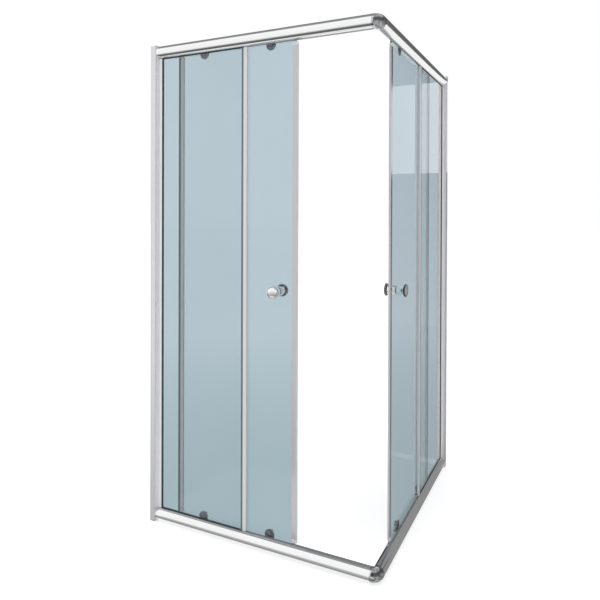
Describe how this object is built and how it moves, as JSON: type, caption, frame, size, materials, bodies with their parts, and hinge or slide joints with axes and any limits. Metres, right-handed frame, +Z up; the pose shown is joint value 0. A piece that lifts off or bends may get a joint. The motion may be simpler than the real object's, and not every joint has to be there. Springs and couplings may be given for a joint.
{
  "type": "corner entry shower door",
  "caption": "Square corner entry shower enclosure: fixed panes and sliding doors in a half-round silver frame, meeting at the open corner, with round chrome knobs.",
  "frame": {"origin": "middle of the footprint's bounding box, knobs included, on the tray plane", "axes": "+Z up; the front face looks along -Y and the side face along +X, so the entry corner is at +X -Y; the front face ends at the left wall (-X) and the side face at the back wall (+Y)"},
  "size_m": [0.9574, 0.9574, 1.85],
  "materials": {
    "silver_frame": "bright polished and clear-anodised aluminium extrusion",
    "pale_plastic": "gloss pale grey moulded plastic",
    "clear_glass": "clear toughened safety glass, faint blue-green",
    "clear_profile": "pale grey moulded edge profile",
    "seal_plastic": "pale soft plastic over a magnetic core",
    "corner_chrome": "polished chrome-plated casting",
    "knob_chrome": "polished chrome-plated turning",
    "bolt_chrome": "chrome-plated low head",
    "bush_plastic": "clear moulded bush",
    "grey_plastic": "mid grey moulded plastic",
    "wheel_plastic": "hard pale grey wheel plastic",
    "grey_rubber": "dark blue-grey glazing rubber",
    "steel": "plain stainless steel"
  },
  "bodies": {
    "frame": {"wall_channel_front": "silver_frame", "side_jamb_front": "silver_frame", "top_rail_front": "silver_frame", "bottom_rail_front": "silver_frame", "fixed_glass_front": "clear_glass", "fixed_edge_profile_front": "clear_profile", "wall_channel_side": "silver_frame", "side_jamb_side": "silver_frame", "top_rail_side": "silver_frame", "bottom_rail_side": "silver_frame", "fixed_glass_side": "clear_glass", "fixed_edge_profile_side": "clear_profile", "bottom_elbow": "corner_chrome", "top_elbow": "corner_chrome", "channel_caps": "pale_plastic", "jamb_gaskets": "grey_rubber", "rail_gaskets": "grey_rubber", "slot_fillers": "pale_plastic", "track_stops": "pale_plastic", "stop_buffers": "grey_rubber", "jamb_screws": "steel", "screw_caps": "pale_plastic", "rail_screws": "steel", "elbow_screws": "steel"},
    "door_front": {"door_glass_front": "clear_glass", "leading_stile_front": "silver_frame", "magnet_strip_front": "seal_plastic", "stile_caps_front": "pale_plastic", "trailing_profile_front": "clear_profile", "top_hangers_front": "grey_plastic", "bottom_holders_front": "grey_plastic", "fixing_bolts_front": "bolt_chrome", "knob_outer_front": "knob_chrome", "knob_inner_front": "knob_chrome", "knob_bushes_front": "bush_plastic", "knob_stud_front": "steel"},
    "top_wheel_front_lead": {"top_wheel_front_lead": "wheel_plastic"},
    "carrier_front_lead": {"carrier_front_lead": "grey_plastic"},
    "bottom_wheel_front_lead": {"bottom_wheel_front_lead": "wheel_plastic"},
    "top_wheel_front_trail": {"top_wheel_front_trail": "wheel_plastic"},
    "carrier_front_trail": {"carrier_front_trail": "grey_plastic"},
    "bottom_wheel_front_trail": {"bottom_wheel_front_trail": "wheel_plastic"},
    "door_side": {"door_glass_side": "clear_glass", "leading_stile_side": "silver_frame", "magnet_strip_side": "seal_plastic", "stile_caps_side": "pale_plastic", "trailing_profile_side": "clear_profile", "top_hangers_side": "grey_plastic", "bottom_holders_side": "grey_plastic", "fixing_bolts_side": "bolt_chrome", "knob_outer_side": "knob_chrome", "knob_inner_side": "knob_chrome", "knob_bushes_side": "bush_plastic", "knob_stud_side": "steel"},
    "top_wheel_side_lead": {"top_wheel_side_lead": "wheel_plastic"},
    "carrier_side_lead": {"carrier_side_lead": "grey_plastic"},
    "bottom_wheel_side_lead": {"bottom_wheel_side_lead": "wheel_plastic"},
    "top_wheel_side_trail": {"top_wheel_side_trail": "wheel_plastic"},
    "carrier_side_trail": {"carrier_side_trail": "grey_plastic"},
    "bottom_wheel_side_trail": {"bottom_wheel_side_trail": "wheel_plastic"}
  },
  "joints": [
    {"name": "door_slide_front", "type": "slide", "parent": "frame", "child": "door_front", "axis": [-1, 0, 0], "range_m": [-0.287, 0.0627]},
    {"name": "top_wheel_front_lead_spin", "type": "hinge", "parent": "door_front", "child": "top_wheel_front_lead", "pos_m": [0.04195, -0.43165, 1.8318], "axis": [0, -1, 0], "range_deg": [-1644.5, 359.4]},
    {"name": "release_front_lead", "type": "slide", "parent": "door_front", "child": "carrier_front_lead", "axis": [0, 0, 1], "range_m": [0, 0.003]},
    {"name": "bottom_wheel_front_lead_spin", "type": "hinge", "parent": "carrier_front_lead", "child": "bottom_wheel_front_lead", "pos_m": [0.04195, -0.43165, 0.0413], "axis": [0, -1, 0], "range_deg": [-2055.6, 449.2]},
    {"name": "top_wheel_front_trail_spin", "type": "hinge", "parent": "door_front", "child": "top_wheel_front_trail", "pos_m": [-0.24505, -0.43165, 1.8318], "axis": [0, -1, 0], "range_deg": [-1644.5, 359.4]},
    {"name": "release_front_trail", "type": "slide", "parent": "door_front", "child": "carrier_front_trail", "axis": [0, 0, 1], "range_m": [0, 0.003]},
    {"name": "bottom_wheel_front_trail_spin", "type": "hinge", "parent": "carrier_front_trail", "child": "bottom_wheel_front_trail", "pos_m": [-0.24505, -0.43165, 0.0413], "axis": [0, -1, 0], "range_deg": [-2055.6, 449.2]},
    {"name": "door_slide_side", "type": "slide", "parent": "frame", "child": "door_side", "axis": [0, 1, 0], "range_m": [-0.137, 0.2127]},
    {"name": "top_wheel_side_lead_spin", "type": "hinge", "parent": "door_side", "child": "top_wheel_side_lead", "pos_m": [0.43165, -0.19195, 1.8318], "axis": [-1, 0, 0], "range_deg": [-785.1, 1218.8]},
    {"name": "release_side_lead", "type": "slide", "parent": "door_side", "child": "carrier_side_lead", "axis": [0, 0, 1], "range_m": [0, 0.003]},
    {"name": "bottom_wheel_side_lead_spin", "type": "hinge", "parent": "carrier_side_lead", "child": "bottom_wheel_side_lead", "pos_m": [0.43165, -0.19195, 0.0413], "axis": [-1, 0, 0], "range_deg": [-981.3, 1523.5]},
    {"name": "top_wheel_side_trail_spin", "type": "hinge", "parent": "door_side", "child": "top_wheel_side_trail", "pos_m": [0.43165, 0.09505, 1.8318], "axis": [-1, 0, 0], "range_deg": [-785.1, 1218.8]},
    {"name": "release_side_trail", "type": "slide", "parent": "door_side", "child": "carrier_side_trail", "axis": [0, 0, 1], "range_m": [0, 0.003]},
    {"name": "bottom_wheel_side_trail_spin", "type": "hinge", "parent": "carrier_side_trail", "child": "bottom_wheel_side_trail", "pos_m": [0.43165, 0.09505, 0.0413], "axis": [-1, 0, 0], "range_deg": [-981.3, 1523.5]}
  ],
  "couplings": [
    {"joint": "top_wheel_front_lead_spin", "follows": "door_slide_front", "rad_per_m": 100},
    {"joint": "bottom_wheel_front_lead_spin", "follows": "door_slide_front", "rad_per_m": 125},
    {"joint": "top_wheel_front_trail_spin", "follows": "door_slide_front", "rad_per_m": 100},
    {"joint": "bottom_wheel_front_trail_spin", "follows": "door_slide_front", "rad_per_m": 125},
    {"joint": "top_wheel_side_lead_spin", "follows": "door_slide_side", "rad_per_m": 100},
    {"joint": "bottom_wheel_side_lead_spin", "follows": "door_slide_side", "rad_per_m": 125},
    {"joint": "top_wheel_side_trail_spin", "follows": "door_slide_side", "rad_per_m": 100},
    {"joint": "bottom_wheel_side_trail_spin", "follows": "door_slide_side", "rad_per_m": 125}
  ]
}
